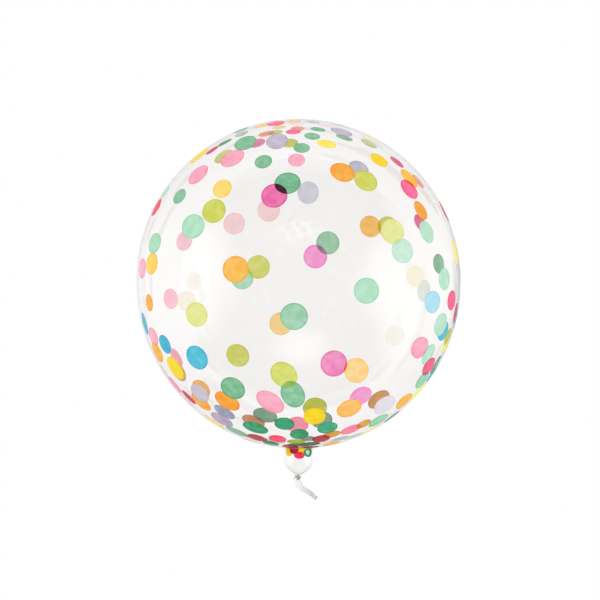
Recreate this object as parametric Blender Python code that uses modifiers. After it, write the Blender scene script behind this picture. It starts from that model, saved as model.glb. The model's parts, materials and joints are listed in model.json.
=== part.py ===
"""A round balloon of clear stretched film, lying on its side on a small flat spot.

The balloon is modelled upright in its own frame, as it hangs in the air: the crown up, the neck
down, the middle of the ball at zero. An empty then lays it on its side, so that the neck points
along -Y, the face that a viewer sees points up, and the flat spot rests on the floor.
Blender units are metres.
"""

import math

import bmesh
import bpy
from mathutils import Matrix, Vector
from mathutils.geometry import interpolate_bezier

# Driving dimensions of the ball
BALL_RADIUS = 0.200
NECK_PULL = 0.0070
REST_SPOT_RADIUS = 0.025

# The neck, a short open tube of film below the ball
NECK_RADIUS = 0.0172
NECK_LENGTH = 0.0175
SHOULDER_RADIUS = 0.0030

# The gather, where the tube is pleated together, and the waist that the thread closes
GATHER_LENGTH = 0.0140
WAIST_RADIUS = 0.0022
PLEATS = 8
WAIST_MARGIN = 0.0006
PLEAT_DEPTH_SHARE = 0.30

# The tail, the loose end of the tube below the thread, folded flat and twisted
TAIL_DROP = 0.0240
TAIL_DRIFT = 0.0220
TAIL_WIDTH = 0.0084
TAIL_THICKNESS = 0.0030
TAIL_TWIST = math.radians(200)
TAIL_FLAT_FROM = 0.33

# The tail's Bezier route, as shares of its drift and drop: down out of the waist, then off to a side
TAIL_ROUTE = ((0.0, 0.0), (-0.10, 0.55), (0.30, 0.40), (1.0, 1.0))

# The thread that ties the neck
THREAD_DIAMETER = 0.0009
THREAD_TURNS = 2
THREAD_TURN_GAP = 0.00025
THREAD_END_LENGTH = 0.0040
UPPER_END_DIRECTION = Vector((-0.55, 0.80, 0.25))
LOWER_END_DIRECTION = Vector((-0.80, -0.60, -0.25))
KNOT_RADIUS = 0.0011
KNOT_WIDTH_RATIO = 1.15
CLEARANCE = 0.0003

# How finely the round shapes are cut into flat faces
FACES_ROUND = 64
BALL_STEPS = 34
SHOULDER_STEPS = 4
GATHER_STEPS = 8
TAIL_STEPS = 13
FACES_PER_TURN = 16
KNOT_SEGMENTS = 12
KNOT_RINGS = 8
THREAD_BEVEL_RESOLUTION = 2
NECK_ANGLE_ROUNDS = 4
SHARP_ANGLE = math.radians(40)
MERGE_DISTANCE = 0.000001

# Places that follow from the sizes above
REST_HEIGHT = math.sqrt(BALL_RADIUS**2 - REST_SPOT_RADIUS**2)
TURN_PITCH = THREAD_DIAMETER + THREAD_TURN_GAP
WAIST_LENGTH = THREAD_TURNS * TURN_PITCH + THREAD_DIAMETER + 2 * WAIST_MARGIN
THREAD_PATH_RADIUS = WAIST_RADIUS + CLEARANCE + THREAD_DIAMETER / 2

FILM_LOOK = ("clear_film", (0.93, 0.93, 0.92, 1.0), 0.05)
THREAD_LOOK = ("tie_thread", (0.86, 0.87, 0.88, 1.0), 0.35)


def ball_reach(angle):
    """The film's distance from the ball's middle, at an angle from the crown. The lower half is drawn out."""
    lower = max(0.0, -math.cos(angle))
    return BALL_RADIUS + NECK_PULL * lower**2


def neck_angle():
    """The angle from the crown at which the ball's film meets the rounded shoulder of the neck."""
    meeting_radius = NECK_RADIUS + SHOULDER_RADIUS
    angle = math.pi - math.asin(meeting_radius / (BALL_RADIUS + NECK_PULL))
    for _ in range(NECK_ANGLE_ROUNDS):
        angle = math.pi - math.asin(meeting_radius / ball_reach(angle))
    return angle


def envelope_profile():
    """The turned outline, crown to neck end, as (radius, height) pairs."""
    last = neck_angle()
    points = []
    for step in range(BALL_STEPS + 1):
        angle = last * step / BALL_STEPS
        points.append((ball_reach(angle) * math.sin(angle), ball_reach(angle) * math.cos(angle)))
    shoulder_top = points[-1][1]
    for step in range(1, SHOULDER_STEPS + 1):
        turn = math.pi / 2 * (1 + step / SHOULDER_STEPS)
        points.append(
            (
                NECK_RADIUS + SHOULDER_RADIUS * (1 + math.cos(turn)),
                shoulder_top - SHOULDER_RADIUS * (1 - math.sin(turn)),
            )
        )
    points.append((NECK_RADIUS, shoulder_top - SHOULDER_RADIUS - NECK_LENGTH))
    return points


def turned_mesh(name, profile):
    """A mesh made by turning a profile round Z with a Screw modifier."""
    outline = bpy.data.meshes.new(name + "_outline")
    vertices = [(radius, 0, height) for radius, height in profile]
    outline.from_pydata(vertices, [(i, i + 1) for i in range(len(vertices) - 1)], [])
    turned = bpy.data.objects.new(name + "_turned", outline)
    bpy.context.scene.collection.objects.link(turned)
    screw = turned.modifiers.new("turn", "SCREW")
    screw.axis = "Z"
    screw.steps = FACES_ROUND
    screw.render_steps = FACES_ROUND
    screw.use_merge_vertices = True
    screw.merge_threshold = MERGE_DISTANCE
    evaluated = turned.evaluated_get(bpy.context.evaluated_depsgraph_get())
    mesh = bpy.data.meshes.new_from_object(evaluated)
    bpy.data.objects.remove(turned)
    return mesh


def pleated_ring(centre, across, through, half_width, half_thickness, pleat_depth):
    """The points of one section of gathered film: an ellipse whose edge is folded in and out."""
    points = []
    for step in range(FACES_ROUND):
        turn = 2 * math.pi * step / FACES_ROUND
        fold = 1 - pleat_depth * (0.5 - 0.5 * math.cos(PLEATS * turn))
        points.append(
            centre
            + across * (half_width * fold * math.cos(turn))
            + through * (half_thickness * fold * math.sin(turn))
        )
    return points


def gather_rings(neck_end):
    """The sections from the neck's open end down to the waist, and along the waist."""
    rings = []
    for step in range(1, GATHER_STEPS + 1):
        share = step / GATHER_STEPS
        radius = WAIST_RADIUS + (NECK_RADIUS - WAIST_RADIUS) * math.cos(share * math.pi / 2)
        centre = Vector((0, 0, neck_end - GATHER_LENGTH * share))
        depth = PLEAT_DEPTH_SHARE * share
        rings.append(pleated_ring(centre, Vector((1, 0, 0)), Vector((0, 1, 0)), radius, radius, depth))
    waist_end = Vector((0, 0, neck_end - GATHER_LENGTH - WAIST_LENGTH))
    rings.append(
        pleated_ring(
            waist_end,
            Vector((1, 0, 0)),
            Vector((0, 1, 0)),
            WAIST_RADIUS,
            WAIST_RADIUS,
            PLEAT_DEPTH_SHARE,
        )
    )
    return rings


def tail_rings(start):
    """The sections of the twisted tail, from the end of the waist to its cut end."""
    controls = [start + Vector((drift * TAIL_DRIFT, 0, -drop * TAIL_DROP)) for drift, drop in TAIL_ROUTE]
    path = interpolate_bezier(*controls, TAIL_STEPS + 1)
    rings = []
    for step in range(1, TAIL_STEPS + 1):
        share = step / TAIL_STEPS
        following = path[min(step + 1, TAIL_STEPS)]
        along = (following - path[step - 1]).normalized()
        flat = min(1.0, share / TAIL_FLAT_FROM)
        half_width = WAIST_RADIUS + (TAIL_WIDTH / 2 - WAIST_RADIUS) * flat
        half_thickness = WAIST_RADIUS + (TAIL_THICKNESS / 2 - WAIST_RADIUS) * flat
        depth_axis = Vector((0, 1, 0))
        across = along.cross(depth_axis).normalized()
        twist = Matrix.Rotation(TAIL_TWIST * share, 3, along)
        rings.append(
            pleated_ring(
                path[step],
                twist @ across,
                twist @ depth_axis,
                half_width,
                half_thickness,
                PLEAT_DEPTH_SHARE,
            )
        )
    return rings


def bridge(bm, upper, lower):
    """Quads between two rings of as many vertices."""
    for step in range(len(upper)):
        after = (step + 1) % len(upper)
        bm.faces.new((upper[step], upper[after], lower[after], lower[step]))


def open_ring(bm):
    """The vertices of the turned mesh's open end, in order round the axis from +X."""
    half_face = math.pi / FACES_ROUND
    ring = [v for v in bm.verts if v.is_boundary]
    return sorted(ring, key=lambda v: (math.atan2(v.co.y, v.co.x) + half_face) % (2 * math.pi))


def film_mesh():
    """The whole film envelope: ball, neck, gather, waist and tail, closed."""
    profile = envelope_profile()
    neck_end = profile[-1][1]
    bm = bmesh.new()
    bm.from_mesh(turned_mesh("film", profile))
    gathered = gather_rings(neck_end)
    waist_end = Vector((0, 0, neck_end - GATHER_LENGTH - WAIST_LENGTH))
    upper = open_ring(bm)
    for points in gathered + tail_rings(waist_end):
        lower = [bm.verts.new(point) for point in points]
        bridge(bm, upper, lower)
        upper = lower
    middle = bm.verts.new(sum((v.co for v in upper), Vector()) / len(upper))
    for step in range(len(upper)):
        bm.faces.new((upper[step], upper[(step + 1) % len(upper)], middle))
    bmesh.ops.recalc_face_normals(bm, faces=bm.faces)
    mesh = bpy.data.meshes.new("film_balloon")
    bm.to_mesh(mesh)
    bm.free()
    mesh.shade_smooth()
    mesh.set_sharp_from_angle(angle=SHARP_ANGLE)
    return mesh


def waist_middle():
    """The height of the middle of the waist, where the thread is wound."""
    return envelope_profile()[-1][1] - GATHER_LENGTH - WAIST_LENGTH / 2


def thread_path():
    """The thread's centreline: its turns round the waist, and an end that runs out beside the knot."""
    middle = waist_middle()
    steps = THREAD_TURNS * FACES_PER_TURN
    turns = []
    for step in range(steps + 1):
        angle = math.pi + 2 * math.pi * step / FACES_PER_TURN
        height = middle + TURN_PITCH * (THREAD_TURNS / 2 - step / FACES_PER_TURN)
        turns.append(
            Vector((THREAD_PATH_RADIUS * math.cos(angle), THREAD_PATH_RADIUS * math.sin(angle), height))
        )
    upper_end = turns[0] + UPPER_END_DIRECTION * THREAD_END_LENGTH
    lower_end = turns[-1] + LOWER_END_DIRECTION * THREAD_END_LENGTH
    return [upper_end] + turns + [lower_end]


def thread_mesh():
    """The thread as one tube, welded shut at its caps."""
    curve = bpy.data.curves.new("thread", "CURVE")
    curve.dimensions = "3D"
    curve.bevel_depth = THREAD_DIAMETER / 2
    curve.bevel_resolution = THREAD_BEVEL_RESOLUTION
    curve.use_fill_caps = True
    spline = curve.splines.new("POLY")
    path = thread_path()
    spline.points.add(len(path) - 1)
    for point, place in zip(spline.points, path):
        point.co = (*place, 1)
    tube = bpy.data.objects.new("thread", curve)
    bpy.context.scene.collection.objects.link(tube)
    evaluated = tube.evaluated_get(bpy.context.evaluated_depsgraph_get())
    mesh = bpy.data.meshes.new_from_object(evaluated)
    bpy.data.objects.remove(tube)
    bm = bmesh.new()
    bm.from_mesh(mesh)
    bmesh.ops.remove_doubles(bm, verts=bm.verts, dist=MERGE_DISTANCE)
    bmesh.ops.recalc_face_normals(bm, faces=bm.faces)
    bm.to_mesh(mesh)
    bm.free()
    return mesh


def knot_object(collection):
    """The pulled knot on the thread, a small rounded lump beside the waist."""
    mesh = bpy.data.meshes.new("knot")
    bm = bmesh.new()
    bmesh.ops.create_uvsphere(bm, u_segments=KNOT_SEGMENTS, v_segments=KNOT_RINGS, radius=KNOT_RADIUS)
    height_ratio = (THREAD_TURNS * TURN_PITCH + THREAD_DIAMETER) / (2 * KNOT_RADIUS)
    bmesh.ops.scale(bm, verts=bm.verts, vec=(1, KNOT_WIDTH_RATIO, height_ratio))
    bm.to_mesh(mesh)
    bm.free()
    knot = bpy.data.objects.new("knot", mesh)
    collection.objects.link(knot)
    knot.location = (-(WAIST_RADIUS + CLEARANCE + KNOT_RADIUS), 0, waist_middle())
    return knot


def floor_cutter(collection):
    """A block whose top is the floor. It takes the small flat spot off the lying ball."""
    mesh = bpy.data.meshes.new("floor_cutter")
    bm = bmesh.new()
    bmesh.ops.create_cube(bm, size=2 * BALL_RADIUS)
    bm.to_mesh(mesh)
    bm.free()
    cutter = bpy.data.objects.new("floor_cutter", mesh)
    collection.objects.link(cutter)
    cutter.location = (0, 0, -BALL_RADIUS)
    return cutter


def as_guide(obj):
    """Marks an object that only shapes another one."""
    obj.hide_render = True
    obj.display_type = "WIRE"


def add_boolean(obj, other, operation):
    modifier = obj.modifiers.new(operation.lower(), "BOOLEAN")
    modifier.operation = operation
    modifier.object = other


def material(look):
    """A Principled material from a name, a colour and a roughness."""
    name, colour, roughness = look
    made = bpy.data.materials.new(name)
    made.use_nodes = True
    shader = made.node_tree.nodes["Principled BSDF"]
    shader.inputs["Base Color"].default_value = colour
    shader.inputs["Roughness"].default_value = roughness
    shader.inputs["Metallic"].default_value = 0.0
    return made


def new_collection(name):
    made = bpy.data.collections.new(name)
    bpy.context.scene.collection.children.link(made)
    return made


def main():
    for obj in list(bpy.data.objects):
        bpy.data.objects.remove(obj)
    parts = new_collection("clear_balloon")
    cutters = new_collection("cutters")

    lying = bpy.data.objects.new("lying_frame", None)
    parts.objects.link(lying)
    lying.location = (0, 0, REST_HEIGHT)
    lying.rotation_euler = (math.radians(-90), 0, 0)

    film = bpy.data.objects.new("film_balloon", film_mesh())
    parts.objects.link(film)
    film.parent = lying
    film.data.materials.append(material(FILM_LOOK))
    floor = floor_cutter(cutters)
    as_guide(floor)
    add_boolean(film, floor, "DIFFERENCE")

    tie = bpy.data.objects.new("neck_tie", thread_mesh())
    parts.objects.link(tie)
    tie.parent = lying
    tie.data.materials.append(material(THREAD_LOOK))
    tie.data.shade_smooth()
    knot = knot_object(cutters)
    knot.parent = lying
    as_guide(knot)
    add_boolean(tie, knot, "UNION")


main()
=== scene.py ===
# %% [markdown]
# # A clear balloon printed with confetti dots
#
# The real thing is a ball of clear stretched film, about 40 cm across, with round dots of ink printed
# on it before it was blown up. Below the ball the film narrows to a short neck, which is pleated
# together and tied with a thread, and the loose end hangs out of the knot as a twisted tail.
#
# A loose balloon lies on its side, so this one does too: its crown points along +Y, its neck along
# -Y, and the camera looks straight down on it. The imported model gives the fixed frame. It holds a
# plain solid for the film, whose place the film made here takes, and one for the thread, which stays.

# %% Load the fixed frame
import json
import math

import bmesh
import bpy
from mathutils import Matrix, Vector, noise
from mathutils.geometry import interpolate_bezier

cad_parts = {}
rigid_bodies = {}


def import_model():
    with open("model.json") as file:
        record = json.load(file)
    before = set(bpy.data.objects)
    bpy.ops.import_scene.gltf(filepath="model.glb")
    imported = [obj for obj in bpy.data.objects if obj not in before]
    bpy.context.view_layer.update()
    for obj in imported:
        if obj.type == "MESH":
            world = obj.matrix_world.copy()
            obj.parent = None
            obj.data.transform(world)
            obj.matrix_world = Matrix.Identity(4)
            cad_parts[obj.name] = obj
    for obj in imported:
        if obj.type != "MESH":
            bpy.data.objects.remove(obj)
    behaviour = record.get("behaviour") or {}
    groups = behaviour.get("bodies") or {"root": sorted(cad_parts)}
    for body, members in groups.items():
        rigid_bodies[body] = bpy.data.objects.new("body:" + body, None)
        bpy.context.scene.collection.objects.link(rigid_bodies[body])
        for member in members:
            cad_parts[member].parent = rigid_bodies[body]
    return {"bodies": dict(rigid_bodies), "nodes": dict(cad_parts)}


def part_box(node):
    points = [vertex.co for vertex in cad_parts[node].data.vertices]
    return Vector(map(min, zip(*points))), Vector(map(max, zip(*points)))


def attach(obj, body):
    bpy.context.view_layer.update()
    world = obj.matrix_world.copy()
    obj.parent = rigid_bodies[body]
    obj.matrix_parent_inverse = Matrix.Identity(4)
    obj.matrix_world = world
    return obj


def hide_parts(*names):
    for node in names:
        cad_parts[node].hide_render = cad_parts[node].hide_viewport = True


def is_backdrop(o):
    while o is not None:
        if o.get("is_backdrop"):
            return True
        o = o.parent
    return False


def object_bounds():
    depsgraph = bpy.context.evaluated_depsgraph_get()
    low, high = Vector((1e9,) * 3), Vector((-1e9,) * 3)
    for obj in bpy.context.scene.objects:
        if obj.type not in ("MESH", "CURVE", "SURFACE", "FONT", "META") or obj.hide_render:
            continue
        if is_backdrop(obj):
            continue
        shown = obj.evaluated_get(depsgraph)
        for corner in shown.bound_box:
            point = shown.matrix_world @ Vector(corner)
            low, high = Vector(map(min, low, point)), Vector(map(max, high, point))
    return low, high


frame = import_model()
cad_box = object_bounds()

BODY = next(iter(frame["bodies"]))
MM = 0.001
CM = 0.01
print("CAD box, mm:", [[round(side / MM, 1) for side in corner] for corner in cad_box])

# %% [markdown]
# ## The places that everything is measured from
#
# The film is a ball whose lower half is drawn out a little towards the neck. The crown of the solid
# gives the ball's radius. The ball rests on a flat spot 50 mm across, as a soft balloon does, and that
# puts its middle a little lower than one radius above the floor.

# %% The ball's middle
film_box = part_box("film_balloon")
BALL_RADIUS = film_box[1].y
REST_SPOT_RADIUS = 25 * MM
REST_HEIGHT = math.sqrt(BALL_RADIUS**2 - REST_SPOT_RADIUS**2)
MIDDLE = Vector((0, 0, REST_HEIGHT))
print(f"ball radius {BALL_RADIUS / MM:.1f} mm, its middle {REST_HEIGHT / MM:.1f} mm above the floor")

# %% [markdown]
# ## The camera
#
# The picture was taken from about 2.4 m away with a long lens, square to the balloon's own axis. Here
# that means a camera 2.4 m above the ball's middle, looking straight down with the crown at the top
# of the picture. The ball stands a little above the middle of the picture, so the camera is moved
# sideways and not turned. A turned camera would show the neck at a slant.

# %% Set up the camera
VIEW_DISTANCE = 2.4
BALL_FROM_PICTURE_MIDDLE = Vector((-1.9 * MM, 23.5 * MM, 0))
PICTURE_WIDTH_AT_BALL = 743 * MM
SENSOR = 36

scene = bpy.context.scene
camera_data = bpy.data.cameras.new("camera")
camera_data.sensor_width = SENSOR
camera_data.lens = SENSOR * VIEW_DISTANCE / PICTURE_WIDTH_AT_BALL
camera_data.clip_end = 50
camera = bpy.data.objects.new("camera", camera_data)
camera.location = MIDDLE - BALL_FROM_PICTURE_MIDDLE + Vector((0, 0, VIEW_DISTANCE))
scene.collection.objects.link(camera)
scene.camera = camera
print(f"lens {camera_data.lens:.0f} mm, {VIEW_DISTANCE} m above the ball's middle")

# %% [markdown]
# ## Colours and nodes
#
# Colours are written as the sRGB hex values that one would pick from a screen. Shaders count in linear
# light, so one function turns the one into the other. One more small function adds a node to a
# material, with its settings and what goes into it.

# %% Two helpers for materials
def linear(hex_colour):
    """An sRGB hex colour as linear red, green and blue, with alpha 1."""
    channels = [int(hex_colour[i : i + 2], 16) / 255 for i in (1, 3, 5)]
    return (*[c / 12.92 if c <= 0.04045 else ((c + 0.055) / 1.055) ** 2.4 for c in channels], 1.0)


def add(tree, kind, settings=(), inputs=()):
    """Adds a node with its settings by name. Each input gets a value, or the socket that feeds it."""
    node = tree.nodes.new(kind)
    for name, value in dict(settings).items():
        setattr(node, name, value)
    for name, source in dict(inputs).items():
        if isinstance(source, bpy.types.NodeSocket):
            tree.links.new(source, node.inputs[name])
        else:
            node.inputs[name].default_value = source
    return node


def new_material(name):
    """A material with a Principled shader, and that shader."""
    made = bpy.data.materials.new(name)
    made.use_nodes = True
    return made, made.node_tree.nodes["Principled BSDF"]


print("grey #808080 is", [round(c, 3) for c in linear("#808080")[:3]], "in linear light")

# %% [markdown]
# ## The clear film
#
# The film is thermoplastic polyurethane, cast between smooth rollers and then stretched by the air
# inside. To the eye it is clear glass with no body to it: it bends light very little, because each
# wall is thin, and what shows is its gloss, a faint grey veil over what is behind it, and a thin dark
# line where one looks along the wall at the edge. A glass shader on a wall with two real surfaces
# gives all of that. An alpha value alone would give the veil without the gloss.
#
# Stretching leaves shallow waves in the gloss, a few centimetres long, and a bump draws those.

# %% Make the clear film's material
FILM_WAVE_LENGTH = 45 * MM
FILM_WAVE_DEPTH = 0.05 * MM

clear_film, shader = new_material("cast_polyurethane_film")
shader.inputs["Base Color"].default_value = linear("#FFFEFD")
shader.inputs["Metallic"].default_value = 0.0
shader.inputs["Roughness"].default_value = 0.02
shader.inputs["IOR"].default_value = 1.49
shader.inputs["Transmission Weight"].default_value = 1.0
tree = clear_film.node_tree
place = add(tree, "ShaderNodeTexCoord")
waves = add(
    tree,
    "ShaderNodeTexNoise",
    inputs={"Vector": place.outputs["Object"], "Scale": 1 / FILM_WAVE_LENGTH, "Detail": 1.0},
)
bump = add(
    tree,
    "ShaderNodeBump",
    inputs={"Strength": 1.0, "Distance": FILM_WAVE_DEPTH, "Height": waves.outputs["Fac"]},
)
tree.links.new(bump.outputs["Normal"], shader.inputs["Normal"])
print("clear film: IOR 1.49, waves", FILM_WAVE_LENGTH / MM, "mm long")

# %% [markdown]
# ## The shape of the film
#
# The whole film could be cut from a sphere and a cylinder, but it is one sheet, and where it is
# gathered it goes on as pleats. So it is built as rings of points, from the crown to the cut end of
# the tail, each ring with as many points as the last. The ball's rings come from one function that
# gives the film's place in any direction from the middle. The dots are laid with the same function.
# The ball rests on a flat spot, so no place on it is lower than the floor.

# %% The ball's film, in any direction from its middle
NECK_PULL = 7.0 * MM
RIPPLE_DEPTH = 0.20 * MM
RIPPLES_ACROSS = 3.0
NECK_RADIUS = 17.2 * MM
SHOULDER_RADIUS = 3.0 * MM
NECK_ANGLE_ROUNDS = 4


def turns_round(count):
    """The turns at a number of even steps round a circle."""
    return [2 * math.pi * step / count for step in range(count)]


def round_axis(radius, height, turn):
    """A place at a radius and a turn round the balloon's axis, and at a height along it."""
    return Vector((radius * math.cos(turn), height, radius * math.sin(turn)))


def ball_reach(direction):
    """How far the film is from the ball's middle in a direction. The lower half is drawn out."""
    downward = max(0.0, -direction.y)
    ripple = RIPPLE_DEPTH * noise.noise(direction * RIPPLES_ACROSS)
    return BALL_RADIUS + NECK_PULL * downward**2 + ripple * (1 - downward**2)


def film_at(direction, lift=0.0):
    """The point of the film's outer face in a direction from the middle, or of what lies on it."""
    point = MIDDLE + direction * (ball_reach(direction) + lift)
    point.z = max(point.z, -lift)
    return point


def neck_angle():
    """The angle from the crown at which the ball's film meets the rounded shoulder of the neck. The
    pull at that angle moves the place a little, so it is worked out in a few rounds."""
    meeting_radius = NECK_RADIUS + SHOULDER_RADIUS
    angle = math.pi - math.asin(meeting_radius / (BALL_RADIUS + NECK_PULL))
    for _ in range(NECK_ANGLE_ROUNDS):
        angle = math.pi - math.asin(meeting_radius / (BALL_RADIUS + NECK_PULL * math.cos(angle) ** 2))
    return angle


NECK_ANGLE = neck_angle()
print(f"the ball's film ends {math.degrees(NECK_ANGLE):.1f} degrees from the crown")

# %% [markdown]
# Below the ball come the rounded shoulder, the straight neck, the gather, the waist inside the thread
# and the tail. In the gather the tube of film shrinks from 34 mm to 4 mm across, so its film has to
# fold: eight main pleats, with finer ones between them, grow from nothing in the neck to full depth
# at the waist.

# %% Rings of points from the crown to the waist
AROUND = 144
BALL_RINGS = 120
SHOULDER_RINGS = 6
NECK_RINGS = 8
GATHER_RINGS = 26
WAIST_RINGS = 6
NECK_LENGTH = 17.5 * MM
GATHER_LENGTH = 14.0 * MM
WAIST_RADIUS = 2.2 * MM
WAIST_LENGTH = 4.4 * MM
PLEATS = 8
PLEAT_DEPTH_SHARE = 0.30
FINE_PLEATS = 23
FINE_PLEAT_SHARE = 0.10
FINE_PLEAT_WANDER = 2.0
FINE_PLEAT_WANDERS = 3


def fold(turn, depth, fine_depth):
    """The share of the radius at which the pleated film lies, for a turn round the tube."""
    main = 0.5 - 0.5 * math.cos(PLEATS * turn)
    wander = FINE_PLEAT_WANDER * math.sin(FINE_PLEAT_WANDERS * turn)
    fine = 0.5 - 0.5 * math.cos(FINE_PLEATS * turn + wander)
    return 1 - depth * PLEAT_DEPTH_SHARE * main - fine_depth * FINE_PLEAT_SHARE * fine


def tube_ring(radius, height, depth=0.0):
    """A ring round the balloon's axis, pleated by a depth from 0 to 1."""
    turns = turns_round(AROUND)
    return [MIDDLE + round_axis(radius * fold(turn, depth, depth), height, turn) for turn in turns]


def ball_ring(angle):
    """A ring of the ball's film at an angle from the crown."""
    turns = turns_round(AROUND)
    return [film_at(round_axis(math.sin(angle), math.cos(angle), turn)) for turn in turns]


rings = [ball_ring(NECK_ANGLE * step / BALL_RINGS) for step in range(1, BALL_RINGS + 1)]
SHOULDER_TOP = (BALL_RADIUS + NECK_PULL * math.cos(NECK_ANGLE) ** 2) * math.cos(NECK_ANGLE)
for step in range(1, SHOULDER_RINGS + 1):
    turn = math.pi / 2 * (1 + step / SHOULDER_RINGS)
    radius = NECK_RADIUS + SHOULDER_RADIUS * (1 + math.cos(turn))
    rings.append(tube_ring(radius, SHOULDER_TOP - SHOULDER_RADIUS * (1 - math.sin(turn))))
NECK_TOP = SHOULDER_TOP - SHOULDER_RADIUS
for step in range(1, NECK_RINGS + 1):
    rings.append(tube_ring(NECK_RADIUS, NECK_TOP - NECK_LENGTH * step / NECK_RINGS))
NECK_END = NECK_TOP - NECK_LENGTH
for step in range(1, GATHER_RINGS + 1):
    share = step / GATHER_RINGS
    radius = WAIST_RADIUS + (NECK_RADIUS - WAIST_RADIUS) * math.cos(share * math.pi / 2)
    rings.append(tube_ring(radius, NECK_END - GATHER_LENGTH * share, share))
WAIST_TOP = NECK_END - GATHER_LENGTH
for step in range(1, WAIST_RINGS + 1):
    rings.append(tube_ring(WAIST_RADIUS, WAIST_TOP - WAIST_LENGTH * step / WAIST_RINGS, 1.0))
print(len(rings), "rings down to the waist, which ends at", round((WAIST_TOP - WAIST_LENGTH) / MM, 1), "mm")

# %% [markdown]
# The tail is the rest of the tube, flattened to a strip 7.4 mm wide. It comes straight out of the
# thread, then swings off to one side and twists by 50 degrees on the way. Just below the thread the
# strip is smooth, and further down it is crumpled into soft pleats and long creases. Its end was cut
# with scissors, so the last rings run out unevenly.

# %% Rings of the tail
TAIL_DROP = 24.0 * MM
TAIL_DRIFT = 22.0 * MM
TAIL_ROUTE = ((0.0, 0.0), (-0.10, 0.55), (0.30, 0.40), (1.0, 1.0))
TAIL_WIDTH = 7.4 * MM
TAIL_THICKNESS = 1.8 * MM
TAIL_CRUMPLED_FULLY = 0.75
TAIL_CREASES = 5
TAIL_CREASE_DEPTH = 0.25 * MM
TAIL_TWIST = math.radians(50)
TAIL_FLAT_FROM = 0.14
TAIL_PLEAT_DEPTH = 0.5
TAIL_FINE_DEPTH = 0.15
TAIL_RINGS = 56
RAGGED_LENGTH = 2.2 * MM
RAGGED_SHARE = 0.25
RAGGEDNESS = 3


def tail_ring(path, step, ragged):
    """A ring of the flattened, twisted tail, round one point of its path."""
    share = step / TAIL_RINGS
    along = (path[min(step + 1, TAIL_RINGS)] - path[step - 1]).normalized()
    flat = min(1.0, share / TAIL_FLAT_FROM)
    half_width = WAIST_RADIUS + (TAIL_WIDTH / 2 - WAIST_RADIUS) * flat
    half_thickness = WAIST_RADIUS + (TAIL_THICKNESS / 2 - WAIST_RADIUS) * flat
    twist = Matrix.Rotation(TAIL_TWIST * share, 3, along)
    through = twist @ Vector((0, 0, -1))
    across = through.cross(along).normalized()
    crumpled = min(1.0, share / TAIL_CRUMPLED_FULLY)
    pleated = 1 - flat + flat * crumpled * TAIL_PLEAT_DEPTH
    finely = 1 - flat + flat * crumpled * TAIL_FINE_DEPTH
    run_out = max(0.0, (share - 1 + RAGGED_SHARE) / RAGGED_SHARE) ** 2
    ring = []
    for turn, longer in zip(turns_round(AROUND), ragged):
        folded = fold(turn, pleated, finely)
        point = path[step] + across * (half_width * folded * math.cos(turn))
        crease = TAIL_CREASE_DEPTH * crumpled * math.sin(TAIL_CREASES * math.pi * math.cos(turn))
        point -= through * (half_thickness * folded * math.sin(turn) + crease)
        ring.append(point + along * (longer * run_out))
    return ring


waist_end = MIDDLE + Vector((0, WAIST_TOP - WAIST_LENGTH, 0))
controls = [waist_end + Vector((drift * TAIL_DRIFT, -drop * TAIL_DROP, 0)) for drift, drop in TAIL_ROUTE]
tail_path = interpolate_bezier(*controls, TAIL_RINGS + 1)
ragged = [
    RAGGED_LENGTH * noise.noise(RAGGEDNESS * Vector((math.cos(turn), math.sin(turn), 0)))
    for turn in turns_round(AROUND)
]
rings += [tail_ring(tail_path, step, ragged) for step in range(1, TAIL_RINGS + 1)]
print(f"tail {sum((b - a).length for a, b in zip(tail_path, tail_path[1:])) / MM:.0f} mm long")

# %% [markdown]
# The rings are joined into one open sheet, and a Solidify modifier gives it a wall. The real film is
# about 0.05 mm thick, which is far less than a pixel, so the wall is drawn 0.3 mm thick: that is what
# makes the thin dark line at the ball's edge show.

# %% Join the rings into the film
WALL = 0.30 * MM


def object_of(name, bm, material):
    """An object in the scene, from a finished bmesh."""
    mesh = bpy.data.meshes.new(name)
    bm.to_mesh(mesh)
    bm.free()
    mesh.materials.append(material)
    made = bpy.data.objects.new(name, mesh)
    scene.collection.objects.link(made)
    return made


def new_object(name, bm, material):
    """A smooth object that rides with the balloon."""
    made = object_of(name, bm, material)
    made.data.shade_smooth()
    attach(made, BODY)
    return made


bm = bmesh.new()
crown = bm.verts.new(film_at(Vector((0, 1, 0))))
upper = [bm.verts.new(point) for point in rings[0]]
for step in range(AROUND):
    bm.faces.new((crown, upper[(step + 1) % AROUND], upper[step]))
for ring in rings[1:]:
    lower = [bm.verts.new(point) for point in ring]
    for step in range(AROUND):
        after = (step + 1) % AROUND
        bm.faces.new((upper[step], upper[after], lower[after], lower[step]))
    upper = lower
bmesh.ops.recalc_face_normals(bm, faces=bm.faces)
film = new_object("film_envelope", bm, clear_film)
wall = film.modifiers.new("wall", "SOLIDIFY")
wall.thickness = WALL
wall.offset = -1
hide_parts("film_balloon")
print("film:", 4 * len(film.data.polygons), "triangles with both faces of the wall")

# %% [markdown]
# ## The printed dots
#
# The dots are flexible screen ink, a few hundredths of a millimetre thick, put on while the film was
# flat. The ink is dense enough to hide what is behind it almost wholly, and it dries to a soft sheen
# that is much weaker than the film's gloss.
#
# When the ball was blown up, the film grew and the ink on it grew thinner. A thinner layer of dye is
# paler, and by the law of Beer and Lambert its colour is the full colour taken to a power, where the
# power is the share of the thickness that is left. A Gamma node does just that. Near the neck the
# film is hardly stretched and the ink keeps its full depth. Elsewhere about 60% of it is left, a little
# less in soft patches 9 mm across, and more in a ring along each dot's edge, where the wet ink dried
# in a bead. How deep the ink is, and how near the edge, is stored on the points of each dot.

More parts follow.
